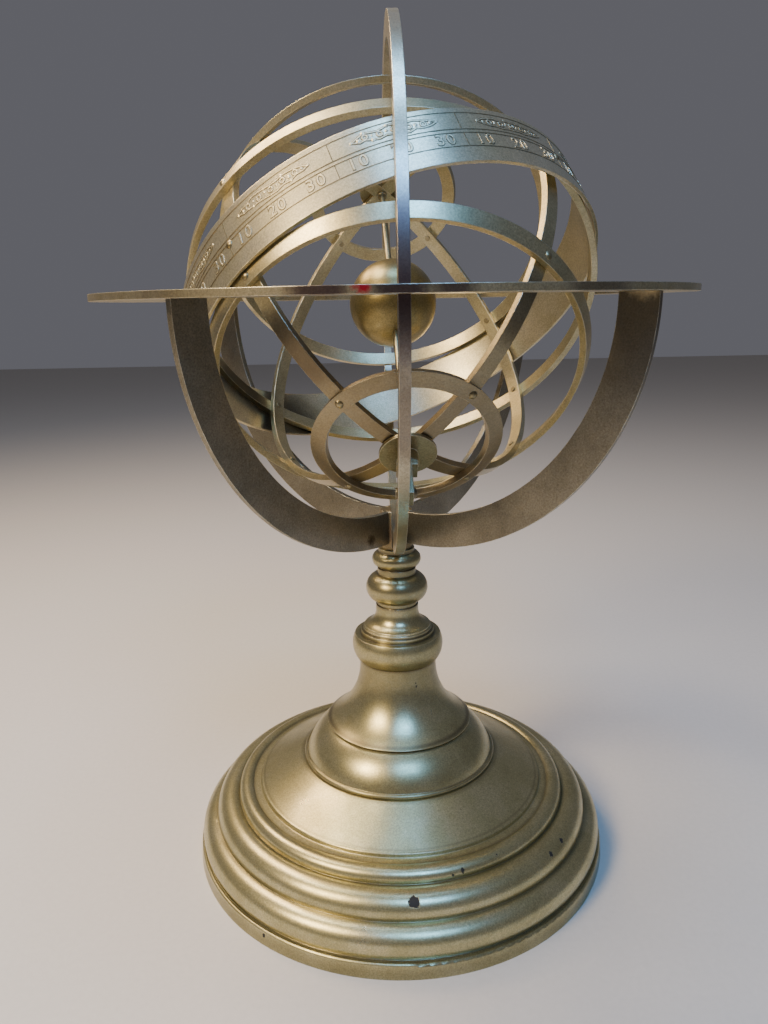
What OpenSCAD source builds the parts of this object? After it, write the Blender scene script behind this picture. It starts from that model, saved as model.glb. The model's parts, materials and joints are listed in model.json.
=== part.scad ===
// Armillary sphere on a turned foot. Millimetres, +Z up, rests on Z = 0.
// The ring sphere spins on its polar axle, and the meridian ring that carries the
// axle slides through the horizon ring and the slot of the post.

/* [Foot] */
// Radius of the foot where it rests
base_r = 116.7; // [112:0.1:126]
// Height of the vertical rim of the foot
rim_h = 7.5; // [7:0.1:8]
// Height of the top of the foot, where the bell sits
foot_h = 52.6; // [50:0.1:58]
// Wall of the foot and the bell
wall = 4; // [3:0.5:5]

/* [Column] */
// Radius of the bell where it meets the foot
bell_r = 54.9; // [52:0.1:58]
// Height of the bell
bell_h = 57; // [54:0.5:60]
// Radius of the neck under the collar
neck_r = 21.5; // [19:0.1:23]
// Largest radius of the collar
collar_r = 25.4; // [24:0.1:27]
// Largest radius of the ball
ball_r = 17.1; // [15:0.1:19]
// Largest radius of the cushion
cushion_r = 13.4; // [12:0.1:15]
// Radius of the slotted post
post_r = 8.6; // [8.4:0.1:9.6]
// Radius of the tie rod through the column
rod_r = 3; // [2.5:0.25:3.5]

/* [Cradle] */
// Width of each arm plate
arm_w = 17.5; // [14:0.5:19]
// Thickness of each arm plate
arm_t = 3; // [2:0.25:3]
// Distance from the rim of the horizon ring in to the arms
arm_edge = 8.2; // [7:0.1:10]
// Straight end of each arm under the horizon ring
arm_end = 1.7; // [0.5:0.1:4]
// Turn of the cradle about the column, degrees
cradle_turn = 5; // [0:0.5:6]

/* [Horizon ring] */
// Outer radius of the horizon ring
horizon_r = 146; // [144:1:156]
// Radial width of the horizon ring
horizon_w = 33; // [28:0.5:34]
// Thickness of the horizon ring
horizon_t = 3.05; // [2:0.05:4]

/* [Meridian ring] */
// Distance from the rim of the horizon ring in to the rim of the meridian ring
meridian_edge = 18.8; // [16:0.1:22]
// Radial width of the meridian ring
meridian_w = 10.5; // [8:0.5:11]
// Thickness of the meridian ring
meridian_t = 4.6; // [3:0.1:4.8]
// Tilt of the polar axis above the horizon, degrees
latitude = 39.4; // [38:0.1:41]

/* [Ring sphere] */
// Room from the bore of the meridian ring to the equator, the tropics and the polar circles
sphere_room = 14.5; // [12:0.1:18]
// Width of the ring strips
strip_w = 7; // [5:0.25:8]
// Thickness of the ring strips
strip_t = 3.1; // [2:0.1:3.5]
// Declination of the two tropic rings, degrees
tropic_dec = 30.8; // [30.4:0.1:33]
// Declination of the two polar circle rings, degrees
polar_dec = 67.5; // [64:0.5:70]
// Width of the zodiac band
zodiac_w = 28.5; // [22:0.5:29]
// Thickness of the zodiac band
zodiac_t = 1.5; // [1.2:0.1:2.2]
// Tilt of the zodiac band to the equator, degrees
ecliptic = 22; // [20:0.1:22.2]
// Turn of the ring sphere about its axle at rest, degrees
spin = 41.4; // [0:0.1:90]
// Radius of the two hub discs
hub_r = 12.7; // [10:0.1:14]

/* [Axle and globe] */
// Radius of the polar axle
axle_r = 1.7; // [1.5:0.05:2]
// Skew of the axle to the meridian ring, degrees, because its brackets sit on opposite sides
axle_skew = 2.3; // [1.5:0.1:2.6]
// Radius of the globe
globe_r = 21.9; // [16:0.1:26]

/* [Fits] */
// Radial clearance where the ring sphere turns on the axle
run_gap = 0.06; // [0.02:0.01:0.09]
// Clearance on each side of the meridian ring in its slots
slide_gap = 0.35; // [0.3:0.05:0.5]
// Clearance of the pieces that are fixed in one another
seat_gap = 0.05; // [0.04:0.01:0.08]

/* [Hidden] */
$fn = 96;
eps = 0.01;

// heights of the column, from the foot up
bell_top = foot_h + bell_h;
collar_h = 32;
collar_top = bell_top + collar_h;
ball_h = 21.2;
ball_top = collar_top + ball_h;
cushion_h = 11.5;
cushion_top = ball_top + cushion_h;
post_floor = 1.4;
slot_floor = cushion_top + post_floor;

// the meridian ring stands just clear of the floor of its slot
meridian_r = horizon_r - meridian_edge;
meridian_in = meridian_r - meridian_w;
centre_z = slot_floor + slide_gap + 0.15 + meridian_r;

// the horizon ring lies a little above the middle of the sphere
horizon_lift = 3.05;
horizon_low = centre_z + horizon_lift;
horizon_top = horizon_low + horizon_t;
horizon_in = horizon_r - horizon_w;

// the arms start level with the lower part of the post and end under the horizon ring
arm_seat = 3.65;
arm_low = cushion_top + arm_seat;
arm_r = horizon_low - arm_end - arm_low;
arm_cz = arm_low + arm_r;
arm_offset = horizon_r - arm_edge - arm_r;
arm_top = arm_low + arm_w;
post_top = arm_top + 0.15;
groove_in = 6.4;
tenon_l = arm_w - 8;

// radii of the layers of the ring sphere
sphere_r = meridian_in - sphere_room;
colure_r = sphere_r - strip_t - seat_gap;
colure_in = colure_r - strip_t;
zodiac_in = sqrt(pow(sphere_r, 2) + pow(strip_w / 2, 2)) + 0.12;
zodiac_r = zodiac_in + zodiac_t;

// rivets
rivet_r = 1;
rivet_head_r = 1.9;
rivet_head_h = 0.9;
rivet_tail_h = 0.6;

// brackets at the poles of the meridian ring
bracket_t = 2;
lug_t = 3;
lug_in = 2.3;
lug_out = 6.8;
bracket_w = 9;
bracket_low = meridian_in - 10;
bracket_high = meridian_r - 2.5;
bracket_x = meridian_t / 2 + seat_gap;
pin_at = meridian_in + meridian_w / 2 - 0.4;
pin_r = 1.5;
boss_r = 4.4;
boss_top = bracket_low - 0.5;
axle_end = bracket_low + lug_t - 0.8;

// tie rod through the column
spigot_r = 5.6;
spigot_l = 15;
rod_low = foot_h - wall - 10;
rod_high = cushion_top - 3.5;
washer_r = 14;
washer_t = 2;

// plateau of the foot, from its edge up to the bell
plateau_in = 36.2;
plateau_drop = 12.6;
plateau_r = base_r - plateau_in;
plateau_z = foot_h - plateau_drop;

// three round beads step up the foot, between grooves given as [in from the rim, share of the rise]
step_low = rim_h + 0.5;
step_rise = plateau_z - step_low;
groove_at = [[3.6, 0], [10.7, 0.453125], [23.4, 0.771875], [31.6, 0.93125]];
groove = [for (g = groove_at) [g.x, step_low + g.y * step_rise]];
bead_rise = [5, 5, 3.4];

// shoulder of the bell
shoulder_in = 15.4;
shoulder_r = bell_r - shoulder_in;
shoulder_z = foot_h + bell_h / 3;

// a round bead that bulges by rise over the straight line from a to b
module bead_2d(a, b, rise) {
    d = b - a;
    half = norm(d) / 2;
    r = (half * half + rise * rise) / (2 * rise);
    n = [-d.y, d.x] / norm(d);
    out = n.x > 0 ? n : -n;
    c = (a + b) / 2 - out * (r - rise);
    translate(c)
        circle(r = r);
}

// ring strip whose broad face lies against the sphere at the given declination
module strip_ring(r, dec) {
    rotate_extrude()
        rotate(dec)
            translate([r - strip_t, -strip_w / 2])
                square([strip_t, strip_w]);
}

// frame of the meridian ring: its Z axis points to the north bracket, in the plane X = 0
module ring_frame() {
    translate([0, 0, centre_z])
        rotate([latitude - 90, 0, 0])
            children();
}

// polar frame: its Z axis is the north end of the axle
module polar() {
    translate([0, 0, centre_z])
        rotate([0, 0, axle_skew])
            rotate([latitude - 90, 0, 0])
                children();
}

// frame of the ring sphere, turned about the axle
module sphere_frame() {
    polar()
        rotate([0, 0, spin])
            children();
}

// places a child whose Z axis points out of the sphere at an hour angle and a declination
module at_sky(ha, dec) {
    rotate([0, 0, ha])
        rotate([0, 90 - dec, 0])
            children();
}

module rivet(low, high) {
    translate([0, 0, low - rivet_tail_h])
        cylinder(r = rivet_r + 0.5, h = rivet_tail_h);
    translate([0, 0, low - eps])
        cylinder(r = rivet_r, h = high - low + 2 * eps);
    cap_r = (pow(rivet_head_r, 2) + pow(rivet_head_h, 2)) / (2 * rivet_head_h);
    intersection() {
        translate([0, 0, high + rivet_head_h - cap_r])
            sphere(r = cap_r);
        translate([0, 0, high])
            cylinder(r = rivet_head_r, h = rivet_head_h + 1);
    }
}

module rivet_holes(dec) {
    for (ha = [0, 90, 180, 270])
        at_sky(ha, dec)
            translate([0, 0, colure_in - 2])
                cylinder(r = rivet_r + seat_gap, h = zodiac_r - colure_in + 4);
}

module all_colure_holes() {
    for (dec = [-polar_dec, -tropic_dec, 0, tropic_dec, polar_dec])
        rivet_holes(dec);
    solstice_holes();
}

module solstice_holes() {
    at_sky(0, ecliptic)
        translate([0, 0, colure_in - 2])
            cylinder(r = rivet_r + seat_gap, h = zodiac_r - colure_in + 4);
    at_sky(180, -ecliptic)
        translate([0, 0, colure_in - 2])
            cylinder(r = rivet_r + seat_gap, h = zodiac_r - colure_in + 4);
}

module axle_bore(gap) {
    translate([0, 0, -meridian_r])
        cylinder(r = axle_r + gap, h = 2 * meridian_r);
}

// the foot: a rim, three round beads and a sloping plateau, hollow underneath
module base_foot() {
    color([0.66, 0.6, 0.42])
        difference() {
            rotate_extrude()
                difference() {
                    union() {
                        foot_core_2d();
                        foot_beads_2d();
                    }
                    foot_hollow_2d();
                    translate([-base_r, -1])
                        square([base_r, foot_h + 2]);
                }
            translate([0, 0, foot_h - wall - 1])
                cylinder(r = rod_r + 0.4, h = wall + 2);
        }
}

module foot_core_2d() {
    polygon([
        [0, 0],
        [base_r, 0],
        [base_r - 0.6, rim_h - 0.6],
        [base_r - 1.5, rim_h],
        [base_r - groove[0].x, groove[0].y],
        [base_r - groove[1].x, groove[1].y],
        [base_r - groove[2].x, groove[2].y],
        [base_r - groove[3].x, groove[3].y],
        [plateau_r + 0.6, groove[3].y + 0.4],
        [plateau_r, plateau_z],
        [bell_r + 1, foot_h],
        [0, foot_h]
    ]);
}

module foot_beads_2d() {
    for (i = [0:2])
        bead_2d([base_r - groove[i].x, groove[i].y], [base_r - groove[i + 1].x, groove[i + 1].y], bead_rise[i]);
    translate([base_r - 1.6, rim_h - 0.6])
        circle(r = 1.1);
    translate([plateau_r - 0.9, plateau_z - 0.8])
        circle(r = 1.2);
}

module foot_hollow_2d() {
    polygon([
        [0, -1],
        [base_r - 2 * wall, -1],
        [base_r - 2 * wall, rim_h - 2.5],
        [base_r - groove[1].x - 1.3 - wall, groove[1].y - 2.5],
        [base_r - groove[2].x - 3.3 - wall, groove[2].y - 2.7],
        [plateau_r - wall, plateau_z - wall],
        [bell_r - 2, foot_h - wall],
        [0, foot_h - wall]
    ]);
}

// the bell: a round shoulder, a groove and a hollow-curved neck
module bell() {
    color([0.68, 0.63, 0.46])
        difference() {
            rotate_extrude()
                difference() {
                    bell_outline_2d();
                    bell_hollow_2d();
                }
            translate([0, 0, foot_h - 1])
                cylinder(r = rod_r + 0.3, h = bell_h + 2);
        }
}

module bell_outline_2d() {
    sweep_r = 38.7;
    // shoulder
    intersection() {
        union() {
            polygon([[0, foot_h], [bell_r - 1.5, foot_h + 1.2], [shoulder_r, shoulder_z], [0, shoulder_z]]);
            bead_2d([bell_r - 1.5, foot_h + 1.2], [shoulder_r, shoulder_z], 2.2);
            translate([0, foot_h])
                square([bell_r - 1.5, 1.2]);
        }
        translate([0, foot_h])
            square([bell_r, shoulder_z - foot_h]);
    }
    // bead at the foot of the bell
    intersection() {
        translate([bell_r - 1.3, foot_h + 1.1])
            circle(r = 1.3);
        translate([0, foot_h])
            square([bell_r, 4]);
    }
    // waist line above the shoulder
    translate([0, shoulder_z - eps])
        square([shoulder_r - 0.8, 1.2]);
    // sweep up to the neck
    difference() {
        translate([0, shoulder_z + 1])
            square([shoulder_r + 1.6, bell_top - shoulder_z - 1]);
        translate([neck_r + sweep_r, bell_top - 3])
            circle(r = sweep_r);
    }
}

module bell_hollow_2d() {
    polygon([
        [0, foot_h - 1],
        [bell_r - 2.2 * wall, foot_h - 1],
        [bell_r - 2.2 * wall, foot_h + 4],
        [shoulder_r - 2.5 * wall, shoulder_z],
        [neck_r - 5, foot_h + bell_h * 0.6],
        [rod_r + 4, foot_h + bell_h * 0.72],
        [0, foot_h + bell_h * 0.72]
    ]);
}

// the collar: a broad roll, two steps and a flare up to the lower neck
module collar() {
    color([0.66, 0.6, 0.43])
        difference() {
            rotate_extrude()
                collar_2d();
            translate([0, 0, bell_top - 1])
                cylinder(r = rod_r + 0.3, h = collar_h + 2);
        }
}

module collar_2d() {
    roll_h = 15;
    intersection() {
        union() {
            translate([collar_r - 13.4, bell_top + 8.8])
                circle(r = 13.4);
            translate([0, bell_top])
                square([collar_r - 13.4, roll_h]);
        }
        translate([0, bell_top])
            square([collar_r, roll_h]);
    }
    translate([0, bell_top + roll_h - eps])
        square([collar_r - 4.9, 2.4]);
    translate([0, bell_top + roll_h + 2.3])
        square([collar_r - 6.2, 1.6]);
    neck_low_r = 11.8;
    flare_r = 8.8;
    difference() {
        translate([0, bell_top + roll_h + 3.8])
            square([collar_r - 7, collar_h - roll_h - 3.8]);
        translate([neck_low_r + flare_r, bell_top + 28.6])
            circle(r = flare_r);
        translate([neck_low_r, bell_top + 28.6])
            square([20, 20]);
    }
}

// the ball between two necks
module ball() {
    color([0.64, 0.58, 0.41])
        difference() {
            rotate_extrude()
                ball_2d();
            translate([0, 0, collar_top - 1])
                cylinder(r = rod_r + 0.3, h = ball_h + 2);
            translate([0, 0, cushion_top - spigot_l - 0.5])
                cylinder(r = spigot_r + 0.1, h = spigot_l);
        }
}

module ball_2d() {
    roll_r = 8.3;
    translate([0, collar_top])
        square([11.2, 3]);
    translate([0, collar_top])
        square([ball_r - roll_r, ball_h]);
    translate([ball_r - roll_r, collar_top + 9.9])
        circle(r = roll_r);
    translate([0, ball_top - 4.5])
        square([10.6, 4.5]);
}

// the cushion under the post
module cushion() {
    color([0.64, 0.58, 0.41])
        difference() {
            rotate_extrude()
                cushion_2d();
            translate([0, 0, ball_top - 1])
                cylinder(r = spigot_r + seat_gap, h = cushion_h + 2);
        }
}

module cushion_2d() {
    roll_r = 4.4;
    translate([0, ball_top])
        square([9.9, cushion_h]);
    translate([cushion_r - roll_r, ball_top + 5])
        circle(r = roll_r);
}

// the post holds the four arms in grooves and the meridian ring in its slot
module slotted_post() {
    color([0.62, 0.55, 0.42])
        difference() {
            union() {
                translate([0, 0, cushion_top])
                    cylinder(r = post_r, h = post_top - cushion_top);
                translate([0, 0, cushion_top - spigot_l])
                    cylinder(r = spigot_r, h = spigot_l + 1);
            }
            translate([-meridian_t / 2 - slide_gap, -20, slot_floor])
                cube([meridian_t + 2 * slide_gap, 40, 40]);
            for (a = [45, 135, 225, 315])
                rotate([0, 0, a + cradle_turn])
                    translate([groove_in - seat_gap, -arm_t / 2 - seat_gap, arm_low - seat_gap])
                        cube([10, arm_t + 2 * seat_gap, 40]);
            translate([0, 0, cushion_top - spigot_l - 1])
                cylinder(r = rod_r + seat_gap, h = spigot_l - 2);
        }
}

module tie_rod() {
    color([0.55, 0.55, 0.56])
        translate([0, 0, rod_low])
            cylinder(r = rod_r, h = rod_high - rod_low);
}

module tie_washer() {
    color([0.55, 0.55, 0.56])
        translate([0, 0, foot_h - wall - washer_t])
            difference() {
                cylinder(r = washer_r, h = washer_t);
                translate([0, 0, -1])
                    cylinder(r = rod_r + 0.3, h = washer_t + 2);
            }
}

module tie_nut() {
    color([0.55, 0.55, 0.56])
        translate([0, 0, foot_h - wall - washer_t - 5])
            difference() {
                cylinder(r = 2 * rod_r, h = 5, $fn = 6);
                translate([0, 0, -1])
                    cylinder(r = rod_r + seat_gap, h = 7);
            }
}

// arm of the cradle: a flat plate cut as a quarter ring, with a tenon up into the horizon ring
module arm(a) {
    color([0.6, 0.53, 0.34])
        rotate([0, 0, a + cradle_turn])
            rotate([90, 0, 0])
                translate([0, 0, -arm_t / 2])
                    linear_extrude(arm_t)
                        arm_2d();
}

module arm_2d() {
    intersection() {
        translate([arm_offset, arm_cz])
            difference() {
                circle(r = arm_r);
                circle(r = arm_r - arm_w);
            }
        translate([arm_offset, 0])
            square([arm_r, arm_cz]);
    }
    translate([groove_in, arm_low])
        square([arm_offset - groove_in + eps, arm_w]);
    translate([arm_offset + arm_r - arm_w, arm_cz - eps])
        square([arm_w, horizon_low - arm_cz + eps]);
    translate([arm_offset + arm_r - arm_w / 2 - tenon_l / 2, horizon_low - eps])
        square([tenon_l, horizon_t + eps]);
}

module front_left_arm() {
    arm(225);
}

module front_right_arm() {
    arm(315);
}

module back_left_arm() {
    arm(135);
}

module back_right_arm() {
    arm(45);
}

// flat horizon ring with two notches for the meridian ring and four slots for the tenons
module horizon_ring() {
    notch_out = meridian_r + 2 * slide_gap;
    color([0.64, 0.57, 0.42])
        translate([0, 0, horizon_low])
            difference() {
                cylinder(r = horizon_r, h = horizon_t, $fn = 180);
                translate([0, 0, -1])
                    cylinder(r = horizon_in, h = horizon_t + 2, $fn = 180);
                for (s = [-1, 1])
                    translate([-meridian_t / 2 - slide_gap, s * notch_out - (s > 0 ? 40 : 0), -1])
                        cube([meridian_t + 2 * slide_gap, 40, horizon_t + 2]);
                for (a = [45, 135, 225, 315])
                    rotate([0, 0, a + cradle_turn])
                        translate([
                            arm_offset + arm_r - arm_w / 2 - tenon_l / 2 - seat_gap,
                            -arm_t / 2 - seat_gap,
                            -1
                        ])
                            cube([tenon_l + 2 * seat_gap, arm_t + 2 * seat_gap, horizon_t + 2]);
            }
}

// meridian ring in the plane X = 0
module meridian_ring() {
    color([0.66, 0.62, 0.5])
        difference() {
            translate([0, 0, centre_z])
                rotate([0, 90, 0])
                    translate([0, 0, -meridian_t / 2])
                        difference() {
                            cylinder(r = meridian_r, h = meridian_t, $fn = 180);
                            translate([0, 0, -1])
                                cylinder(r = meridian_in, h = meridian_t + 2, $fn = 180);
                        }
            ring_frame()
                pin_holes();
        }
}

module pin_holes() {
    for (s = [-1, 1])
        translate([-20, 0, s * pin_at])
            rotate([0, 90, 0])
                cylinder(r = pin_r + seat_gap, h = 40);
}

// angle bracket on one side of the meridian ring; its lug carries an end of the axle
module bracket(s) {
    color([0.5, 0.5, 0.46])
        difference() {
            ring_frame()
                mirror([s > 0 ? 1 : 0, 0, 0])
                    mirror([0, 0, s < 0 ? 1 : 0])
                        difference() {
                            translate([0, -bracket_w / 2, bracket_low]) {
                                translate([bracket_x, 0, 0])
                                    cube([bracket_t, bracket_w, bracket_high - bracket_low]);
                                translate([-lug_in, 0, 0])
                                    cube([lug_in + lug_out, bracket_w, lug_t]);
                            }
                            pin_holes();
                        }
            polar()
                mirror([0, 0, s < 0 ? 1 : 0])
                    cylinder(r = axle_r + seat_gap, h = bracket_low + lug_t - 0.6);
        }
}

module south_bracket() {
    bracket(-1);
}

module north_bracket() {
    bracket(1);
}

// a round-headed pin rivets each bracket to the meridian ring
module bracket_pins() {
    color([0.7, 0.64, 0.45])
        ring_frame()
            for (s = [-1, 1])
                mirror([s > 0 ? 1 : 0, 0, 0])
                    translate([-meridian_t / 2 - seat_gap, 0, s * pin_at])
                        rotate([0, 90, 0])
                            bracket_pin();
}

module bracket_pin() {
    span = meridian_t + bracket_t + 2 * seat_gap + 0.02;
    translate([0, 0, -0.8])
        cylinder(r = pin_r + 0.8, h = 0.8 + eps);
    cylinder(r = pin_r, h = span + eps);
    intersection() {
        translate([0, 0, span - 1.2])
            sphere(r = 2.9);
        translate([0, 0, span])
            cylinder(r = 2.6, h = 3);
    }
}

module polar_axle() {
    color([0.62, 0.58, 0.42])
        polar()
            translate([0, 0, -axle_end])
                cylinder(r = axle_r, h = 2 * axle_end);
}

module globe() {
    color([0.7, 0.62, 0.36])
        polar()
            difference() {
                sphere(r = globe_r);
                axle_bore(seat_gap);
            }
}

// hub: a disc over the crossing of the colures and a boss that turns on the axle
module hub(s) {
    color([0.55, 0.52, 0.42])
        sphere_frame()
            mirror([0, 0, s < 0 ? 1 : 0])
                difference() {
                    union() {
                        translate([0, 0, colure_r + seat_gap])
                            cylinder(r = hub_r, h = 1.6);
                        translate([0, 0, colure_r + seat_gap])
                            cylinder(r = boss_r, h = boss_top - colure_r - seat_gap);
                        translate([0, 0, colure_in - 2])
                            cylinder(r = axle_r + 1, h = colure_r - colure_in + 3);
                    }
                    axle_bore(run_gap);
                }
}

module south_hub() {
    hub(-1);
}

module north_hub() {
    hub(1);
}

// the two colures cross at the poles, each halved into the other
module solstice_colure() {
    color([0.64, 0.59, 0.42])
        sphere_frame()
            difference() {
                rotate([90, 0, 0])
                    rotate_extrude($fn = 180)
                        translate([colure_in, -strip_w / 2])
                            square([strip_t, strip_w]);
                for (s = [0, 1])
                    mirror([0, 0, s])
                        translate([-strip_w / 2 - seat_gap, -strip_w, colure_r - strip_t / 2])
                            cube([strip_w + 2 * seat_gap, 2 * strip_w, strip_t]);
                axle_bore(1 + seat_gap);
                all_colure_holes();
            }
}

module equinox_colure() {
    color([0.64, 0.59, 0.42])
        sphere_frame()
            difference() {
                rotate([0, 90, 0])
                    rotate_extrude($fn = 180)
                        translate([colure_in, -strip_w / 2])
                            square([strip_t, strip_w]);
                for (s = [0, 1])
                    mirror([0, 0, s])
                        translate([-strip_w, -strip_w / 2 - seat_gap, colure_in - 2])
                            cube([2 * strip_w, strip_w + 2 * seat_gap, strip_t / 2 + 2 + seat_gap]);
                axle_bore(1 + seat_gap);
                all_colure_holes();
            }
}

module parallel_ring(dec) {
    sphere_frame()
        difference() {
            strip_ring(sphere_r, dec, $fn = 180);
            rivet_holes(dec);
        }
}

module equator_ring() {
    color([0.66, 0.61, 0.45])
        parallel_ring(0);
}

module north_tropic_ring() {
    color([0.62, 0.56, 0.38])
        parallel_ring(tropic_dec);
}

module south_tropic_ring() {
    color([0.67, 0.63, 0.49])
        parallel_ring(-tropic_dec);
}

module north_polar_ring() {
    color([0.62, 0.56, 0.4])
        parallel_ring(polar_dec);
}

module south_polar_ring() {
    color([0.62, 0.56, 0.4])
        parallel_ring(-polar_dec);
}

// broad zodiac band round the outside of the ring sphere
module zodiac_band() {
    color([0.68, 0.64, 0.5])
        sphere_frame()
            difference() {
                rotate([0, -ecliptic, 0])
                    rotate_extrude($fn = 180)
                        translate([zodiac_in, -zodiac_w / 2])
                            square([zodiac_t, zodiac_w]);
                rivet_holes(0);
                solstice_holes();
            }
}

// rivets where the rings cross the colures
module ring_rivets() {
    color([0.5, 0.46, 0.34])
        sphere_frame() {
            for (dec = [-polar_dec, -tropic_dec, tropic_dec, polar_dec])
                for (ha = [0, 90, 180, 270])
                    at_sky(ha, dec)
                        rivet(colure_in, sphere_r);
            for (ha = [0, 180])
                at_sky(ha, 0)
                    rivet(colure_in, sphere_r);
        }
}

// longer rivets that hold the zodiac band
module zodiac_rivets() {
    color([0.5, 0.46, 0.34])
        sphere_frame() {
            for (ha = [90, 270])
                at_sky(ha, 0)
                    rivet(colure_in, zodiac_r);
            at_sky(0, ecliptic)
                rivet(colure_in, zodiac_r);
            at_sky(180, -ecliptic)
                rivet(colure_in, zodiac_r);
        }
}

base_foot();
bell();
collar();
ball();
cushion();
slotted_post();
tie_rod();
tie_washer();
tie_nut();
front_left_arm();
front_right_arm();
back_left_arm();
back_right_arm();
horizon_ring();
meridian_ring();
south_bracket();
north_bracket();
bracket_pins();
polar_axle();
globe();
south_hub();
north_hub();
solstice_colure();
equinox_colure();
equator_ring();
north_tropic_ring();
south_tropic_ring();
north_polar_ring();
south_polar_ring();
zodiac_band();
ring_rivets();
zodiac_rivets();
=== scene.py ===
import json
import math
import random

import bpy
from mathutils import Matrix, Vector


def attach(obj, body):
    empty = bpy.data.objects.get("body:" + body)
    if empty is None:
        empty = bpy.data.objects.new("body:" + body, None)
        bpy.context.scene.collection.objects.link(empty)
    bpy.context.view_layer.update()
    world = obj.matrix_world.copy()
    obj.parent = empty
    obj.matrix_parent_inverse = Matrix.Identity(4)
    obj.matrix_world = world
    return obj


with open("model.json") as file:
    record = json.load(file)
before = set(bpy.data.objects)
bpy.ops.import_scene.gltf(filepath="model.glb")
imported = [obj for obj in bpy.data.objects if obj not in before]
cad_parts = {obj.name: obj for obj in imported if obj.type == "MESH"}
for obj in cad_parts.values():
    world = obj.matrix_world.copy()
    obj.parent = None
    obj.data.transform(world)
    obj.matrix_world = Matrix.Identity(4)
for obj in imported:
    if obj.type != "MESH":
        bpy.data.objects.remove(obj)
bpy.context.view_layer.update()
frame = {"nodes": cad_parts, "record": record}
nodes = frame["nodes"]
print("frame loaded,", len(nodes), "nodes")

# where the part's own axes lie, in metres and degrees
layout = {
    "centre": (0.0, 0.0, 0.3034),
    "axleTilt": 39.4,        # north end of the axle above the horizon
    "axleSkew": 2.3,         # the axle's turn against the meridian ring
    "sphereTurn": 41.4,      # the ring sphere's turn about the axle
    "bandTilt": 22.0,        # the zodiac band's tilt to the equator
}

viewCamera = {
    "distance": 0.4200,
    "height": 0.3028,
    "turn": 1.9,             # degrees round the part
    "yaw": -0.01532,         # yaw, pitch and roll in radians
    "pitch": 0.25376,
    "roll": -0.01797,
    "focalLength": 28.08,    # focal length and sensor in mm
    "sensorHeight": 36,
    "nearest": 0.01,         # closest distance that is drawn, in metres
}


def placeCamera(view):
    bpy.ops.object.camera_add()
    cam = bpy.context.object
    cam.name = "photoView"
    cam.data.sensor_fit = "VERTICAL"
    cam.data.sensor_height = view["sensorHeight"]
    cam.data.lens = view["focalLength"]
    cam.data.clip_start = view["nearest"]
    cosPitch, sinPitch = math.cos(view["pitch"]), math.sin(view["pitch"])
    cosYaw, sinYaw = math.cos(view["yaw"]), math.sin(view["yaw"])
    ahead = Vector((sinYaw * cosPitch, cosYaw * cosPitch, -sinPitch))
    side = Vector((cosYaw, -sinYaw, 0))
    up = side.cross(ahead)
    right = side * math.cos(view["roll"]) + up * math.sin(view["roll"])
    top = up * math.cos(view["roll"]) - side * math.sin(view["roll"])
    facing = Matrix((right, top, -ahead)).transposed().to_4x4()
    stand = Matrix.Translation((0, -view["distance"], view["height"]))
    around = Matrix.Rotation(math.radians(-view["turn"]), 4, "Z")
    cam.matrix_world = around @ stand @ facing
    bpy.context.scene.camera = cam


placeCamera(viewCamera)
print("camera placed")


def linearColour(code):
    line = []
    for start in (1, 3, 5):
        part = int(code[start:start + 2], 16) / 255
        line.append(part / 12.92 if part <= 0.04045 else ((part + 0.055) / 1.055) ** 2.4)
    return (*line, 1.0)


def addNode(tree, kind, settings=None, links=None):
    node = tree.nodes.new(kind)
    for key, value in (settings or {}).items():
        if isinstance(key, int) or key in node.inputs:
            node.inputs[key].default_value = value
        else:
            setattr(node, key, value)
    for key, source in (links or {}).items():
        tree.links.new(source, node.inputs[key])
    return node


def newMaterial(name):
    material = bpy.data.materials.new(name)
    material.use_nodes = True
    return material, material.node_tree, material.node_tree.nodes["Principled BSDF"]


# patterns that all the gold lacquers share: scales per metre, with the size of each pattern beside it
coat = {
    "cloudScale": 38.0,          # slow clouding of the sprayed coat, about 26 mm across
    "toneStops": (0.28, 0.5, 0.74),    # where the dark, base and light tones lie in the clouding
    "flakeScale": 1250.0,        # metal flake: 0.03 mm in life, drawn 0.8 mm so that it shows
    "noiseSpan": (0.3, 0.7),     # where most values of a noise lie
    "flakeShade": (0.66, 1.3),   # darkest and brightest flake, as parts of the paint's colour
    "tarnishFade": 0.2,          # soft edge of a tarnished patch
    "edgeSamples": 6,
    "edgeStart": 0.995,          # how far the rounded and flat normals agree where rubbing starts and is full
    "edgeFull": 0.86,
    "rubScale": 170.0,           # rubbed patches along an edge, about 6 mm
    "rubSpan": (0.36, 0.62),
    "rubLeast": 0.15,
    "roughnessSwing": 0.04,      # roughness follows the clouding by this much up and down
    "peelScale": 700.0,          # slight orange peel of the spray, about 1.4 mm across
    "latheScale": 1500.0,        # marks of the lathe, fine rings about 0.7 mm apart
    "latheDepth": 0.5,
    "chipGrain": 620.0,          # torn outline of a chip, about 1.6 mm
    "chipTear": 0.0035,          # how far the outline is pushed about, in metres
    "chipEdge": (2100, 1850),    # the size in mm over these gives the edge's start and end in metres
    "chipRoughness": 0.4,        # added where the lacquer has come off
    "chipDepth": -6.0,
    "chipMetallic": 0.1,
    "stainAndLightGrain": 260.0,         # torn outline of stains and patches of painted light, about 4 mm
    "stainAndLightTear": 0.006,
    "stainAndLightEdge": (5000, 1700),
    "reliefHeight": 0.00004,     # height of all the relief together, in metres
}


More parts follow.
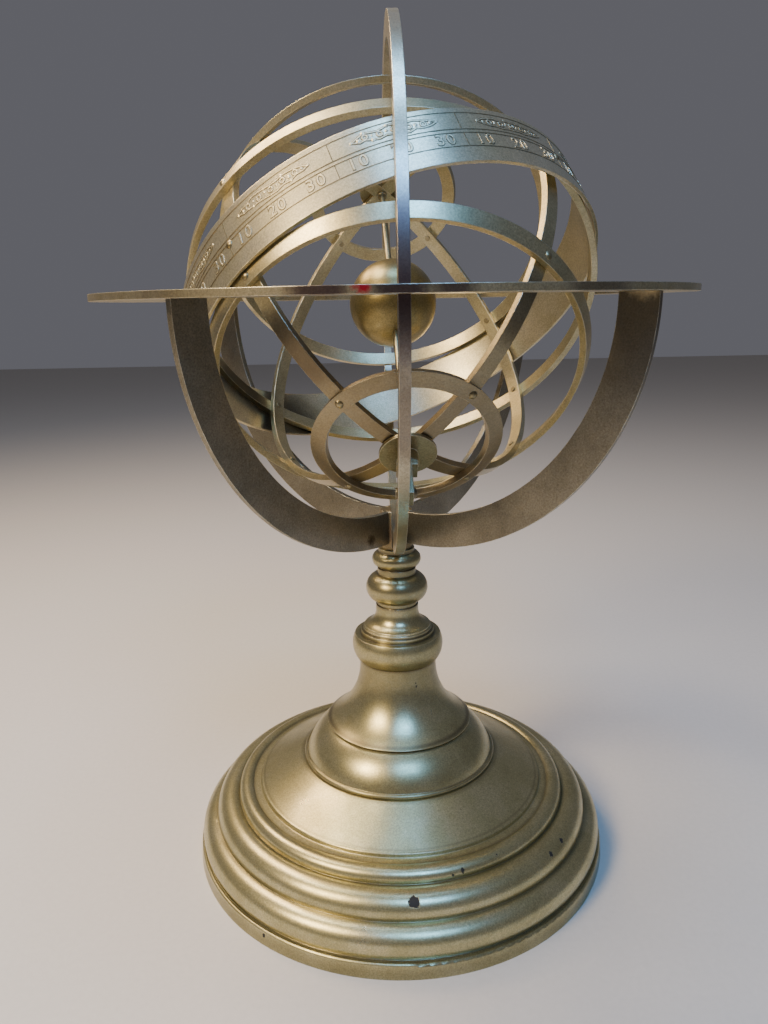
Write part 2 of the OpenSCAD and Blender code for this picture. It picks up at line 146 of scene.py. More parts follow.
def raggedPlace(tree, place, reach, grain):
    # the place, pushed about by noise, so that a round spot gets a torn outline
    tatter = addNode(tree, "ShaderNodeTexNoise", {"Scale": grain, "Detail": 3.0, "Roughness": 0.7},
                     {"Vector": place})
    centred = addNode(tree, "ShaderNodeVectorMath", {"operation": "SUBTRACT", 1: (0.5, 0.5, 0.5)},
                      {0: tatter.outputs["Color"]})
    shift = addNode(tree, "ShaderNodeVectorMath", {"operation": "SCALE", "Scale": reach},
                    {0: centred.outputs[0]})
    ragged = addNode(tree, "ShaderNodeVectorMath", {"operation": "ADD"}, {0: place, 1: shift.outputs[0]})
    return ragged.outputs[0]


def strongest(tree, shades):
    # the largest of several shades at every place
    total = shades[0]
    for shade in shades[1:]:
        total = addNode(tree, "ShaderNodeMath", {"operation": "MAXIMUM"}, {0: total, 1: shade}).outputs[0]
    return total


def grooveShade(tree, place, grooves):
    # dirt and painted shade in the turned grooves, each a circle given as radius, height and reach in mm
    flat = addNode(tree, "ShaderNodeVectorMath", {"operation": "MULTIPLY", 1: (1, 1, 0)}, {0: place})
    radius = addNode(tree, "ShaderNodeVectorMath", {"operation": "LENGTH"}, {0: flat.outputs[0]})
    split = addNode(tree, "ShaderNodeSeparateXYZ", {}, {0: place})
    turned = addNode(tree, "ShaderNodeCombineXYZ", {}, {0: radius.outputs["Value"], 1: split.outputs["Z"]})
    shades = []
    for ringRadius, ringHeight, reach in grooves:
        away = addNode(tree, "ShaderNodeVectorMath",
                       {"operation": "DISTANCE", 1: (ringRadius / 1000, ringHeight / 1000, 0)},
                       {0: turned.outputs[0]})
        near = addNode(tree, "ShaderNodeMapRange",
                       {"interpolation_type": "SMOOTHSTEP", "From Min": 0.0, "From Max": reach / 1000,
                        "To Min": 1.0, "To Max": 0.0},
                       {"Value": away.outputs["Value"]})
        shades.append(near.outputs[0])
    return strongest(tree, shades), turned.outputs[0]


def chipShade(tree, place, chips):
    # ragged spots where the lacquer has come off, each given as x, y, z and size in mm
    ragged = raggedPlace(tree, place, coat["chipTear"], coat["chipGrain"])
    edgeStart, edgeEnd = coat["chipEdge"]
    shades = []
    for x, y, z, size in chips:
        away = addNode(tree, "ShaderNodeVectorMath",
                       {"operation": "DISTANCE", 1: (x / 1000, y / 1000, z / 1000)}, {0: ragged})
        inside = addNode(tree, "ShaderNodeMapRange",
                         {"From Min": size / edgeStart, "From Max": size / edgeEnd,
                          "To Min": 1.0, "To Max": 0.0},
                         {"Value": away.outputs["Value"]})
        shades.append(inside.outputs[0])
    return strongest(tree, shades)


def stainAndLightPaint(tree, place, paint, stainsAndPaintedLight):
    # soft stains in the coat, and painted shade and painted highlights laid on in the same way, each given as
    # x, y, z and size in mm, then its colour and strength
    ragged = raggedPlace(tree, place, coat["stainAndLightTear"], coat["stainAndLightGrain"])
    edgeStart, edgeEnd = coat["stainAndLightEdge"]
    for x, y, z, size, colour, strength in stainsAndPaintedLight:
        away = addNode(tree, "ShaderNodeVectorMath",
                       {"operation": "DISTANCE", 1: (x / 1000, y / 1000, z / 1000)}, {0: ragged})
        inside = addNode(tree, "ShaderNodeMapRange",
                         {"interpolation_type": "SMOOTHSTEP", "From Min": size / edgeStart,
                          "From Max": size / edgeEnd, "To Min": strength, "To Max": 0.0},
                         {"Value": away.outputs["Value"]})
        stainAndLightMix = addNode(tree, "ShaderNodeMix", {"data_type": "RGBA", 7: linearColour(colour)},
                          {0: inside.outputs[0], 6: paint})
        paint = stainAndLightMix.outputs[2]
    return paint


def cloudPaint(tree, cloud, look):
    # the coat's three tones, laid over its clouding
    shade = addNode(tree, "ShaderNodeValToRGB", {}, {"Fac": cloud})
    darkStop, baseStop, lightStop = coat["toneStops"]
    ramp = shade.color_ramp
    ramp.elements[0].position = darkStop
    ramp.elements[0].color = linearColour(look["dark"])
    ramp.elements[1].position = lightStop
    ramp.elements[1].color = linearColour(look["light"])
    ramp.elements.new(baseStop).color = linearColour(look["base"])
    return shade.outputs["Color"]


def flakePaint(tree, flake, paint):
    # the metal flake lightens and darkens the paint
    low, high = coat["noiseSpan"]
    dim, bright = coat["flakeShade"]
    sparkle = addNode(tree, "ShaderNodeMapRange",
                      {"From Min": low, "From Max": high, "To Min": dim, "To Max": bright},
                      {"Value": flake})
    lit = addNode(tree, "ShaderNodeVectorMath", {"operation": "SCALE"},
                  {0: paint, "Scale": sparkle.outputs[0]})
    return lit.outputs[0]


def tarnishPaint(tree, place, paint, look):
    # brown tarnish in soft patches
    start = look["tarnishStart"]
    patch = addNode(tree, "ShaderNodeTexNoise", {"Scale": look["tarnishScale"], "Detail": 6.0,
                                                 "Roughness": 0.68, "Distortion": 0.6}, {"Vector": place})
    mask = addNode(tree, "ShaderNodeMapRange",
                   {"From Min": start, "From Max": start + coat["tarnishFade"],
                    "To Min": 0.0, "To Max": look["tarnishAmount"]},
                   {"Value": patch.outputs[0]})
    tarnished = addNode(tree, "ShaderNodeMix", {"data_type": "RGBA", 7: linearColour(look["tarnish"])},
                        {0: mask.outputs[0], 6: paint})
    return tarnished.outputs[2]


def rubbedPaint(tree, place, paint, look):
    # rounded edges, rubbed to brighter metal in places
    rounded = addNode(tree, "ShaderNodeBevel",
                      {"samples": coat["edgeSamples"], "Radius": look["edgeRadius"] / 1000})
    flatNormal = addNode(tree, "ShaderNodeNewGeometry").outputs["Normal"]
    agree = addNode(tree, "ShaderNodeVectorMath", {"operation": "DOT_PRODUCT"},
                    {0: rounded.outputs[0], 1: flatNormal})
    edge = addNode(tree, "ShaderNodeMapRange",
                   {"From Min": coat["edgeStart"], "From Max": coat["edgeFull"],
                    "To Min": 0.0, "To Max": 1.0},
                   {"Value": agree.outputs["Value"]})
    rub = addNode(tree, "ShaderNodeTexNoise", {"Scale": coat["rubScale"], "Detail": 4.0, "Roughness": 0.7},
                  {"Vector": place})
    low, high = coat["rubSpan"]
    rubMask = addNode(tree, "ShaderNodeMapRange",
                      {"From Min": low, "From Max": high, "To Min": coat["rubLeast"],
                       "To Max": look["rubAmount"]},
                      {"Value": rub.outputs[0]})
    rubbed = addNode(tree, "ShaderNodeMath", {"operation": "MULTIPLY", "use_clamp": True},
                     {0: edge.outputs[0], 1: rubMask.outputs[0]})
    bright = addNode(tree, "ShaderNodeMix", {"data_type": "RGBA", 7: linearColour(look["rubbed"])},
                     {0: rubbed.outputs[0], 6: paint})
    return bright.outputs[2], rounded.outputs[0]


def groovedCoat(tree, place, paint, height, look):
    # dull dirt and painted shade in the grooves, and the marks of the lathe under the coat
    dirtAndShade, turned = grooveShade(tree, place, look["grooves"])
    darkening = addNode(tree, "ShaderNodeMath", {"operation": "MULTIPLY", 1: look["grooveAmount"]}, {0: dirtAndShade})
    darkened = addNode(tree, "ShaderNodeMix", {"data_type": "RGBA", 7: linearColour(look["grimeAndShade"])},
                    {0: darkening.outputs[0], 6: paint})
    lathe = addNode(tree, "ShaderNodeTexNoise", {"Scale": coat["latheScale"], "Detail": 2.0},
                    {"Vector": turned})
    marked = addNode(tree, "ShaderNodeMath", {"operation": "MULTIPLY_ADD", 1: coat["latheDepth"]},
                     {0: lathe.outputs[0], 2: height})
    return darkened.outputs[2], marked.outputs[0]


def chippedCoat(tree, place, paint, rough, height, look):
    # where the coat has come off: another colour, rougher, lower and hardly metallic
    chipped = chipShade(tree, place, look["chips"])
    bare = addNode(tree, "ShaderNodeMix", {"data_type": "RGBA", 7: linearColour(look["chipColour"])},
                   {0: chipped, 6: paint})
    rougher = addNode(tree, "ShaderNodeMath",
                      {"operation": "MULTIPLY_ADD", 1: coat["chipRoughness"], "use_clamp": True},
                      {0: chipped, 2: rough})
    lower = addNode(tree, "ShaderNodeMath", {"operation": "MULTIPLY_ADD", 1: coat["chipDepth"]},
                    {0: chipped, 2: height})
    metallic = addNode(tree, "ShaderNodeMapRange",
                       {"To Min": look["metallic"], "To Max": coat["chipMetallic"]}, {"Value": chipped})
    return bare.outputs[2], rougher.outputs[0], lower.outputs[0], metallic.outputs[0]


def goldLacquer(name, look):
    # sprayed champagne gold with metal flake: satin, a little cloudy, brown where it has tarnished
    material, tree, shader = newMaterial(name)
    place = addNode(tree, "ShaderNodeTexCoord").outputs["Object"]
    cloud = addNode(tree, "ShaderNodeTexNoise",
                    {"Scale": coat["cloudScale"], "Detail": 4.0, "Roughness": 0.62}, {"Vector": place})
    flake = addNode(tree, "ShaderNodeTexNoise",
                    {"Scale": coat["flakeScale"], "Detail": 3.0, "Roughness": 0.8}, {"Vector": place})
    paint = cloudPaint(tree, cloud.outputs[0], look)
    paint = flakePaint(tree, flake.outputs[0], paint)
    paint = tarnishPaint(tree, place, paint, look)
    if look.get("stainsAndPaintedLight"):
        paint = stainAndLightPaint(tree, place, paint, look["stainsAndPaintedLight"])
    paint, roundedNormal = rubbedPaint(tree, place, paint, look)

    low, high = coat["noiseSpan"]
    swing = coat["roughnessSwing"]
    rough = addNode(tree, "ShaderNodeMapRange",
                    {"From Min": low, "From Max": high, "To Min": look["roughness"] + swing,
                     "To Max": look["roughness"] - swing},
                    {"Value": cloud.outputs[0]}).outputs[0]
    peel = addNode(tree, "ShaderNodeTexNoise", {"Scale": coat["peelScale"], "Detail": 2.0}, {"Vector": place})
    height = addNode(tree, "ShaderNodeMath", {"operation": "MULTIPLY_ADD", 1: look["peel"]},
                     {0: peel.outputs[0], 2: flake.outputs[0]}).outputs[0]
    if look.get("grooves"):
        paint, height = groovedCoat(tree, place, paint, height, look)
    if look.get("chips"):
        paint, rough, height, metallic = chippedCoat(tree, place, paint, rough, height, look)
        tree.links.new(metallic, shader.inputs["Metallic"])
    else:
        shader.inputs["Metallic"].default_value = look["metallic"]

    relief = addNode(tree, "ShaderNodeBump", {"Strength": look["relief"], "Distance": coat["reliefHeight"]},
                     {"Height": height, "Normal": roundedNormal})
    tree.links.new(relief.outputs[0], shader.inputs["Normal"])
    tree.links.new(paint, shader.inputs["Base Color"])
    tree.links.new(rough, shader.inputs["Roughness"])
    return material


# the lacquer that every look below starts from; the radius of the edges is in mm
lacquer = {
    "light": "#c8c099", "base": "#b6ae83", "dark": "#a59d72", "tarnish": "#6a5c3e", "rubbed": "#e9e2c8",
    "grimeAndShade": "#4f4630", "metallic": 0.9, "roughness": 0.31, "edgeRadius": 0.45, "rubAmount": 0.8,
    "tarnishStart": 0.64, "tarnishAmount": 0.35, "tarnishScale": 60.0, "relief": 0.45, "peel": 1.2,
    "grooveAmount": 0.4,
}

# spun foot, sprayed champagne gold: broad satin highlights, grooves dulled with dirt and painted shade, chips
# down to the black primer
footLook = dict(
    lacquer, chipColour="#1b1a17", edgeRadius=0.5, rubAmount=0.5,
    # the first, widest groove covers the rim's face with a painted dark reflection
    grooves=[(116.9, 2.5, 7.0), (113.1, 8.0, 2.6), (106.0, 22.5, 3.4), (93.3, 32.7, 3.2),
             (85.1, 37.8, 2.0), (79.0, 41.2, 1.1), (55.9, 52.6, 2.6)],
    chips=[(2.7, -103.1, 31.2, 5.4), (27.1, -88.7, 36.2, 2.3), (22.0, -90.6, 35.1, 1.8),
           (74.3, -71.9, 31.0, 2.7), (81.7, -62.6, 31.4, 2.3), (45.2, -79.7, 37.6, 1.2),
           (-70.6, -92.3, 5.4, 2.1), (-96.0, 41.0, 31.5, 2.4), (38.0, 97.0, 27.0, 2.0)])

# turned column in the same spray: a little greener, with lathe rings, and strong dirt and painted shade in
# the grooves
columnLook = dict(
    lacquer, light="#c2ba92", base="#aea67c", dark="#9b9268", chipColour="#3a3126", grimeAndShade="#5a5142",
    grooveAmount=0.65,
    grooves=[(39.7, 73.8, 2.2), (53.6, 53.8, 2.4), (21.5, 109.6, 2.0), (20.5, 124.8, 1.6),
             (19.2, 127.2, 1.5), (12.0, 141.6, 2.0), (9.8, 144.4, 2.0), (10.6, 158.6, 2.0),
             (9.9, 163.0, 1.8), (9.9, 172.6, 2.0)],
    # darker round the ball as a painted shade of the horizon ring, and darker round the cushion and the neck
    stainsAndPaintedLight=[(0.0, 0.0, 153.0, 46.0, "#6d664c", 0.6), (0.0, 0.0, 170.0, 30.0, "#756d50", 0.4),
            (0.0, 0.0, 104.0, 60.0, "#746b4e", 0.8)],
    chips=[(8.8, -20.1, 101.6, 1.2), (9.3, -20.0, 99.8, 1.1)])

# cut plate arms: older, duller olive coat with a bright cut edge; a painted shadow of the horizon ring and a
# painted highlight top the right one
armLook = dict(
    lacquer, light="#918a78", base="#807a69", dark="#706a5a", roughness=0.4, rubAmount=0.95,
    tarnish="#4d432f", tarnishStart=0.62, tarnishAmount=0.4,
    # two dark spots low on the left arm, then the right arm's painted shadow of the horizon ring and its
    # painted highlight
    stainsAndPaintedLight=[(-15.0, -18.0, 183.0, 7.0, "#231c14", 0.85), (-19.0, -22.0, 181.0, 4.0, "#2b2218", 0.7),
            (100.0, -86.0, 300.0, 80.0, "#4b463e", 0.6), (99.0, -86.2, 313.4, 20.0, "#f4e2b6", 1.0)])

# slotted post, rubbed bare and brown where the meridian ring slides
postLook = dict(
    armLook, light="#a99b7a", base="#8f8162", dark="#766848", rubAmount=0.9,
    stainsAndPaintedLight=[(0.0, -8.6, 184.0, 16.0, "#6a4a3c", 0.5)])

# cut plate horizon ring: dark purple tarnish along the front rim that hands touch, one red spot
rimLook = dict(
    lacquer, light="#bdb293", base="#a89d7c", dark="#948966", tarnish="#4a3a34", roughness=0.36,
    tarnishStart=0.56, tarnishAmount=0.6, tarnishScale=90.0, rubAmount=0.9,
    stainsAndPaintedLight=[(-30.0, -143.0, 308.0, 26.0, "#3a2530", 0.85), (-2.0, -146.0, 308.0, 24.0, "#33202b", 0.85),
            (16.0, -145.0, 308.0, 16.0, "#3d2a2e", 0.75), (-15.0, -145.2, 308.6, 7.0, "#b3122e", 0.95),
            (-88.0, -112.0, 308.0, 30.0, "#5d5040", 0.3), (70.0, -128.0, 308.0, 34.0, "#4c4038", 0.6)])

# cut plate meridian ring: paler coat with a violet bloom low on the outer edge
meridianLook = dict(
    lacquer, light="#c9c2ad", base="#b4ab92", dark="#9c927a", tarnish="#6d5a58",
    tarnishStart=0.58, tarnishAmount=0.45, tarnishScale=45.0,
    stainsAndPaintedLight=[(0.0, -124.0, 322.0, 62.0, "#4c3a44", 0.8), (0.0, -126.0, 296.0, 40.0, "#43323c", 0.75),
            (0.0, -120.0, 262.0, 46.0, "#584a44", 0.6), (0.0, -90.0, 214.0, 62.0, "#786d54", 0.5)])

# rolled strip of the rings: darker and browner round the south pole, brown tarnish and a painted dark
# reflection; patches of painted shade in front and low on the left
stripLook = dict(
    lacquer, light="#c6bb97", base="#b3a883", dark="#a19570", roughness=0.34,
    stainsAndPaintedLight=[(3.0, -79.0, 239.0, 150.0, "#6b5c47", 0.7), (30.0, -62.0, 262.0, 30.0, "#55463c", 0.4),
            (-41.0, -88.0, 286.0, 46.0, "#5b4f40", 0.75), (52.0, -85.0, 300.0, 40.0, "#4f463a", 0.65),
            (-86.0, 28.0, 259.0, 60.0, "#2f2a20", 0.85)])

# rolled zodiac band: the brightest coat, darkened low at the back by a painted shade
bandLook = dict(
    lacquer, light="#d6cdb2", base="#c6bc9d", dark="#b5ab88", tarnishAmount=0.25,
    stainsAndPaintedLight=[(-62.0, 47.0, 237.0, 60.0, "#3a3428", 0.8)])

# raised marks on the band, worn bright on top
markLook = dict(lacquer, light="#d9d0b4", base="#c2b797", dark="#a99e7b", edgeRadius=0.12, roughness=0.38)

# lines and outlines on the band, filled with old polish and dirt; beside the raised marks this dark is also a
# painted shadow
lineLook = dict(lacquer, light="#8a7f61", base="#6d6349", dark="#524a35", edgeRadius=0.1, rubAmount=0.3,
                roughness=0.5)

# spun globe: smooth deep gold
globeLook = dict(lacquer, light="#ab9d72", base="#938558", dark="#7a6d43", roughness=0.34, relief=0.25,
                 tarnishAmount=0.3, edgeRadius=0.2)

# hubs and axle: dull, darker brass; rivets more tarnished, brackets darker still
hubLook = dict(lacquer, light="#a69c7c", base="#8d8363", dark="#72684b", tarnish="#3c3427", roughness=0.36,
               tarnishStart=0.56, tarnishAmount=0.55)
rivetLook = dict(hubLook, light="#aba080", base="#8d8262", dark="#665b42", tarnish="#332a1c", edgeRadius=0.25)
bracketLook = dict(hubLook, light="#857b60", base="#6b6148", dark="#4e4632")

goldFinishes = {
    "foot_metal": ("sprayed gold lacquer on spun foot", footLook),
    "column_metal": ("sprayed gold lacquer on turned column", columnLook),
    "post_metal": ("rubbed gold lacquer on slotted post", postLook),
    "arm_metal": ("aged gold lacquer on cut plate arms", armLook),
    "horizon_metal": ("tarnished gold lacquer on cut plate ring", rimLook),
    "meridian_metal": ("pale gold lacquer on meridian plate", meridianLook),
    "bracket_metal": ("dull brass sheet brackets", bracketLook),
    "axle_metal": ("drawn brass axle", hubLook),
    "globe_metal": ("deep gold lacquer on spun globe", globeLook),
    "hub_metal": ("gold lacquer on hub discs", hubLook),
    "strip_metal": ("gold lacquer on rolled strip", stripLook),
    "band_metal": ("bright gold lacquer on rolled band", bandLook),
    "rivet_metal": ("dull brass rivets", rivetLook),
}

# zinc-plated steel of the tie rod, nut and washer
steelLook = {"dark": "#8d9093", "light": "#b5b8ba", "spangleScale": 400.0, "roughness": (0.3, 0.5)}


def zincSteel(name, look):
    # grey and slightly mottled, with spangles about 2.5 mm across
    material, tree, shader = newMaterial(name)
    place = addNode(tree, "ShaderNodeTexCoord").outputs["Object"]
    spangle = addNode(tree, "ShaderNodeTexNoise", {"Scale": look["spangleScale"], "Detail": 3.0},
                      {"Vector": place})
    tone = addNode(tree, "ShaderNodeMix",
                   {"data_type": "RGBA", 6: linearColour(look["dark"]), 7: linearColour(look["light"])},
                   {0: spangle.outputs[0]})
    smooth, dull = look["roughness"]
    rough = addNode(tree, "ShaderNodeMapRange", {"To Min": smooth, "To Max": dull},
                    {"Value": spangle.outputs[0]})
    tree.links.new(tone.outputs[2], shader.inputs["Base Color"])
    tree.links.new(rough.outputs[0], shader.inputs["Roughness"])
    shader.inputs["Metallic"].default_value = 1.0
    return material


finishes = {slot: goldLacquer(name, look) for slot, (name, look) in goldFinishes.items()}
finishes["steel"] = zincSteel("zinc-plated steel", steelLook)
for part in frame["record"]["subparts"]:
    piece = nodes[part["node"]]
    for place in piece.material_slots:
        place.material = finishes[part["material_slot"]]
print("materials on the nodes")

# marks on the zodiac band, laid out flat in metres: x runs round the band, z across it
bandMarks = {
    "radius": 0.10388,                                    # outer face of the band
    "cells": 12,
    "lineHeights": (0.0116, 0.0026, 0.0007, -0.0064),     # circles that part the registers
    "lineWidth": 0.0004,
    "lineCuts": 30,                                       # cuts across a stroke, so that it can bend
    "partingCuts": 3,
    "figureCuts": 4,
    "overlap": 0.6,                                       # how far a stroke runs on, as a part of its width
    "raise": 0.0002,
    "figureRegister": (0.0036, 0.0108),
    "figures": 3,                                         # different groups of stars, each used four times
    "figureStart": 0.17,                                  # where a group starts in its cell, and its span
    "figureSpan": 0.66,
    "outlinePoints": 13,
    "middleBand": (0.44, 0.56),                           # where the middle line wanders, up the register
    "outlineReach": (0.24, 0.42),                         # how far the outline stands off from it
    "outlineSway": 0.0006,
    "ringRadius": 0.0011,
    "ringSides": 8,
    "starSizes": (0.0011, 0.0014, 0.0018),
    "starFlatness": 0.3,
    "ridgeWidth": 0.00045,                                # raised bright ridge of a figure's line
    "ridgeRaise": 1.5,                                    # its height, as a part of the painted shadow's
    "shadowWidth": 0.0011,                                # dirt and painted shadow on both sides of the ridge
    "numbers": ("10", "20", "30"),
    "numberHeight": -0.00285,                             # middle of the numbers
    "numberSize": 0.0078,
    "numberSpacing": 1.2,
    "outline": 0.00030,                                   # dark outline of dirt and painted shadow round each number
    "outlineRaise": 0.3,                                  # its height, as a part of the number's
    "mergeDistance": 0.000002,
    "smoothAngle": 35,
}
bandLength = math.tau * bandMarks["radius"]
cellWidth = bandLength / bandMarks["cells"]
lineMaterial = goldLacquer("dirt-filled line and painted shadow on rolled band", lineLook)
markMaterial = goldLacquer("raised mark worn bright", markLook)


def clearSelection():
    bpy.ops.object.select_all(action="DESELECT")


def pick(piece):
    clearSelection()
    piece.select_set(True)
    bpy.context.view_layer.objects.active = piece


def joinPieces(pieces, name):
    clearSelection()
    for piece in pieces:
        piece.select_set(True)
    bpy.context.view_layer.objects.active = pieces[0]
    bpy.ops.object.join()
    whole = bpy.context.object
    whole.name = name
    bpy.ops.object.transform_apply(location=True, rotation=True, scale=True)
    return whole


def applyModifier(piece, kind, settings):
    pick(piece)
    bpy.ops.object.modifier_add(type=kind)
    modifier = piece.modifiers[-1]
    for key, value in settings.items():
        setattr(modifier, key, value)
    bpy.ops.object.modifier_apply(modifier=modifier.name)


def repeatAlong(piece, count, step):
    applyModifier(piece, "ARRAY", {"count": count, "use_relative_offset": False, "use_constant_offset": True,
                                   "constant_offset_displace": (step, 0, 0)})


def flatStroke(start, end, width, cuts, material):
    # a flat stroke in the XZ plane, cut across so that it can follow the band's curve
    length = math.hypot(end[0] - start[0], end[1] - start[1]) + width * bandMarks["overlap"]
    clearSelection()
    bpy.ops.mesh.primitive_grid_add(x_subdivisions=cuts, y_subdivisions=1, size=1)
    stroke = bpy.context.object
    lean = math.atan2(end[1] - start[1], end[0] - start[0])
    stroke.matrix_world = (Matrix.Translation(((start[0] + end[0]) / 2, 0, (start[1] + end[1]) / 2))
                           @ Matrix.Rotation(-lean, 4, "Y") @ Matrix.Rotation(math.pi / 2, 4, "X")
                           @ Matrix.Diagonal((length, width, 1, 1)))
    stroke.data.materials.append(material)
    return stroke


def cellLines(plan):
    # the lines of one cell, repeated round the band
    left = -bandLength / 2
    width = plan["lineWidth"]
    inset = left + width / 2
    top, upper, lower, bottom = plan["lineHeights"]
    strokes = [flatStroke((left, height), (left + cellWidth, height), width, plan["lineCuts"], lineMaterial)
               for height in plan["lineHeights"]]
    for low, high in ((upper, top), (bottom, lower)):
        strokes.append(flatStroke((inset, low), (inset, high), width, plan["partingCuts"], lineMaterial))
    lines = joinPieces(strokes, "cell_lines")
    applyModifier(lines, "SOLIDIFY", {"thickness": plan["raise"], "offset": 0.0})
    repeatAlong(lines, plan["cells"], cellWidth)
    return lines


def starDot(x, z, size, flatness):
    clearSelection()
    bpy.ops.mesh.primitive_ico_sphere_add(subdivisions=2, radius=size / 2, location=(x, 0, z))
    dot = bpy.context.object
    dot.scale = (1, flatness, 1)
    dot.data.materials.append(markMaterial)
    return dot


def starOutline(plan, figure, chance):
    # the upper, lower and middle points of an uneven closed outline
    low, high = plan["figureRegister"]
    room = high - low
    start = -bandLength / 2 + (figure + plan["figureStart"]) * cellWidth
    count = plan["outlinePoints"]
    sway = plan["outlineSway"]
    reach = plan["outlineReach"]
    upper, lower, middle = [], [], []
    for i in range(count):
        share = i / (count - 1)
        swell = math.sqrt(math.sin(math.pi * share)) if 0 < i < count - 1 else 0
        x = start + share * plan["figureSpan"] * cellWidth
        z = low + room * chance.uniform(*plan["middleBand"])
        middle.append((x, z))
        upper.append((x + chance.uniform(-sway, sway), z + room * swell * chance.uniform(*reach)))
        lower.append((x + chance.uniform(-sway, sway), z - room * swell * chance.uniform(*reach)))
    upper[0] = lower[0] = middle[0]
    upper[-1] = lower[-1] = middle[-1]
    return upper, lower, middle


def ringPairs(x, z, radius, sides):
    # the sides of an open ring, each as its two ends
    corners = []
    for k in range(sides + 1):
        angle = k * math.tau / sides
        corners.append((x + radius * math.cos(angle), z + radius * math.sin(angle)))
    return zip(corners, corners[1:])


def figureStrokes(pairs, width, thickness, cuts, material, name):
    strokes = joinPieces([flatStroke(a, b, width, cuts, material) for a, b in pairs], name)
    applyModifier(strokes, "SOLIDIFY", {"thickness": thickness, "offset": 0.0})
    return strokes


def starFigure(plan, figure, chance):
    # an uneven closed outline, like a cloud of stars: open rings and stars by turns along its middle
    upper, lower, middle = starOutline(plan, figure, chance)
    pairs = [*zip(upper, upper[1:]), *zip(lower, lower[1:])]
    for x, z in middle[2:-2:2]:
        pairs.extend(ringPairs(x, z, plan["ringRadius"], plan["ringSides"]))
    cuts = plan["figureCuts"]
    shadows = figureStrokes(pairs, plan["shadowWidth"], plan["raise"], cuts, lineMaterial, "star_shadows")
    ridges = figureStrokes(pairs, plan["ridgeWidth"], plan["raise"] * plan["ridgeRaise"], cuts, markMaterial,
                           "star_ridges")
    stars = [*middle[1:-1:2], middle[0], middle[-1], *upper[2:-2:3], *lower[3:-2:3]]
    dots = [starDot(x, z, chance.choice(plan["starSizes"]), plan["starFlatness"]) for x, z in stars]
    group = joinPieces([shadows, ridges, *dots], "star_figure")
    repeatAlong(group, plan["cells"] // plan["figures"], cellWidth * plan["figures"])
    return group


def flatNumber(word, x, plan, spread, thick, material):
    clearSelection()
    bpy.ops.object.text_add(rotation=(math.pi / 2, 0, 0), location=(x, 0, plan["numberHeight"]))
    label = bpy.context.object
    label.data.body = word
    label.data.align_x = "CENTER"
    label.data.align_y = "CENTER"
    label.data.size = plan["numberSize"]
    label.data.space_character = plan["numberSpacing"]
    label.data.resolution_u = 3
    label.data.offset = spread
    label.data.extrude = thick
    bpy.ops.object.convert(target="MESH")
    label = bpy.context.object
    label.data.materials.clear()
    label.data.materials.append(material)
    return label


def cellNumbers(plan):
    # plain numbers, each a bright face on a slightly wider dark outline of dirt and painted shadow
    labels = []
    for step, word in enumerate(plan["numbers"]):
        x = -bandLength / 2 + (step + 0.5) / len(plan["numbers"]) * cellWidth
        edge = plan["raise"] * plan["outlineRaise"]
        labels.append(flatNumber(word, x, plan, plan["outline"], edge, lineMaterial))
        labels.append(flatNumber(word, x, plan, 0.0, plan["raise"], markMaterial))
    numbers = joinPieces(labels, "cell_numbers")
    repeatAlong(numbers, plan["cells"], cellWidth)
    return numbers


def wrapOnBand(piece, plan):
    # bends the flat work into a hoop, then turns it into the band's place on the sphere
    applyModifier(piece, "SIMPLE_DEFORM", {"deform_method": "BEND", "deform_axis": "Z", "angle": math.tau})
    centre = Matrix.Translation((0, -plan["radius"], 0))
    bandPlace = (Matrix.Translation(layout["centre"])
                 @ Matrix.Rotation(math.radians(layout["axleSkew"]), 4, "Z")
                 @ Matrix.Rotation(math.radians(layout["axleTilt"] - 90), 4, "X")
                 @ Matrix.Rotation(math.radians(layout["sphereTurn"]), 4, "Z")
                 @ Matrix.Rotation(math.radians(-layout["bandTilt"]), 4, "Y"))
    piece.matrix_world = bandPlace @ centre
    pick(piece)
    bpy.ops.object.transform_apply(location=True, rotation=True, scale=True)
    bpy.ops.object.mode_set(mode="EDIT")
    bpy.ops.mesh.select_all(action="SELECT")
    bpy.ops.mesh.remove_doubles(threshold=plan["mergeDistance"])
    bpy.ops.mesh.normals_make_consistent(inside=False)
    bpy.ops.object.mode_set(mode="OBJECT")
    bpy.ops.object.shade_smooth_by_angle(angle=math.radians(plan["smoothAngle"]))


chance = random.Random(12)
flatWork = [cellLines(bandMarks), cellNumbers(bandMarks)]
for figure in range(bandMarks["figures"]):
    flatWork.append(starFigure(bandMarks, figure, chance))
print("band marks laid out flat")
marks = joinPieces(flatWork, "band_marks")
wrapOnBand(marks, bandMarks)
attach(marks, "ring_sphere")
print("band marks wrapped,", len(marks.data.polygons), "faces")

floorLook = {"size": 8, "dark": "#c0b9ae", "light": "#cac3b8", "toothScale": 300.0, "roughness": 0.8}


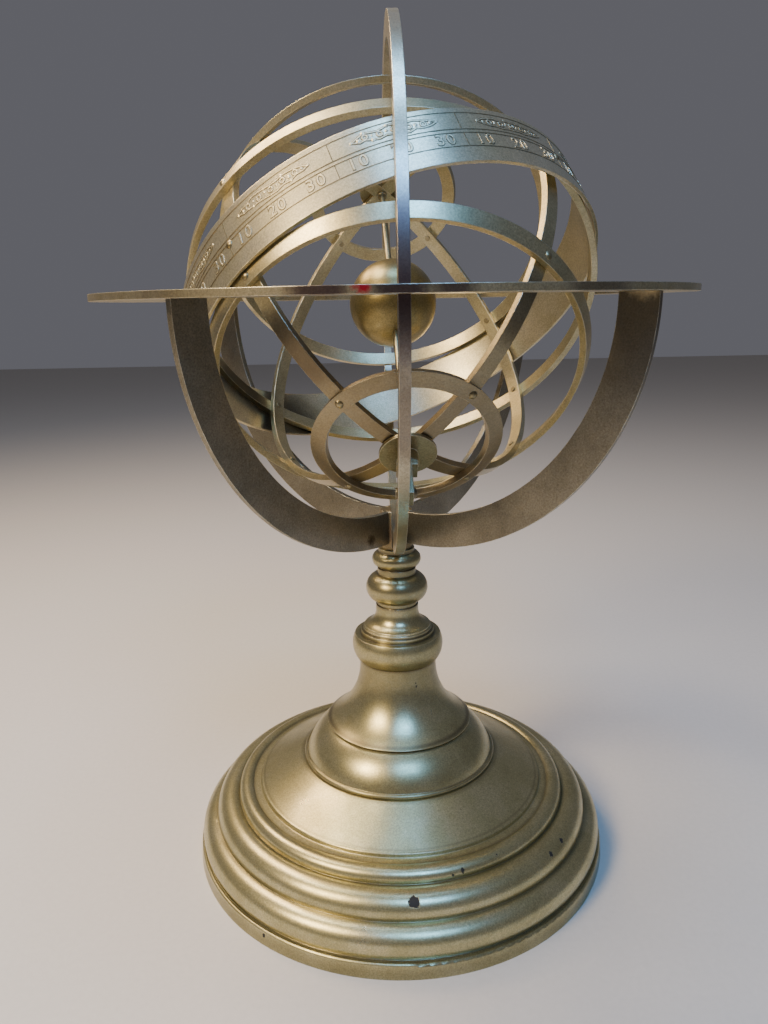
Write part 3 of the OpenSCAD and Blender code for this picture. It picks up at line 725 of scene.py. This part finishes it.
def mattPaper(name, look):
    # matt and pale, with a faint tooth about 3 mm across
    material, tree, shader = newMaterial(name)
    place = addNode(tree, "ShaderNodeTexCoord").outputs["Object"]
    tooth = addNode(tree, "ShaderNodeTexNoise", {"Scale": look["toothScale"], "Detail": 3.0},
                    {"Vector": place})
    tone = addNode(tree, "ShaderNodeMix",
                   {"data_type": "RGBA", 6: linearColour(look["dark"]), 7: linearColour(look["light"])},
                   {0: tooth.outputs[0]})
    tree.links.new(tone.outputs[2], shader.inputs["Base Color"])
    shader.inputs["Roughness"].default_value = look["roughness"]
    return material


clearSelection()
bpy.ops.mesh.primitive_plane_add(size=floorLook["size"], location=(0, 0, 0))
floor = bpy.context.object
floor.name = "floor"
floor.data.materials.append(mattPaper("matt pale paper", floorLook))

# warm lamps on the left, in front, high and behind; a cool window high in front and cool light from above
softLights = {
    "leftLamp": {"at": (-0.74, -0.62, 0.90), "size": 0.36, "power": 16.0, "colour": "#ffe4ba"},
    "backLamp": {"at": (-0.55, 0.45, 1.05), "size": 0.45, "power": 9.5, "colour": "#ffdcb0"},
    "highLamp": {"at": (-0.40, 0.06, 1.15), "size": 0.30, "power": 7.0, "colour": "#fff0dc"},
    "coolWindow": {"at": (0.16, -0.85, 1.15), "size": 0.42, "power": 12.0, "colour": "#74b4ff"},
    "ceiling": {"at": (0.03, -0.12, 1.40), "size": 0.40, "power": 7.2, "colour": "#84bfff"},
}


def softLight(name, light):
    bpy.ops.object.light_add(type="AREA", location=light["at"])
    lamp = bpy.context.object
    lamp.name = name
    lamp.data.shape = "SQUARE"
    lamp.data.size = light["size"]
    lamp.data.energy = light["power"]
    lamp.data.color = linearColour(light["colour"])[:3]
    aim = Vector(layout["centre"]) - Vector(light["at"])
    lamp.rotation_euler = aim.to_track_quat("-Z", "Y").to_euler()


for name, light in softLights.items():
    softLight(name, light)

roomLook = {"colour": "#d0d0dc", "strength": 0.19}
room = bpy.data.worlds.new("paleRoom")
bpy.context.scene.world = room
room.use_nodes = True
roomLight = room.node_tree.nodes["Background"]
roomLight.inputs["Color"].default_value = linearColour(roomLook["colour"])
roomLight.inputs["Strength"].default_value = roomLook["strength"]
print("floor and lights set")
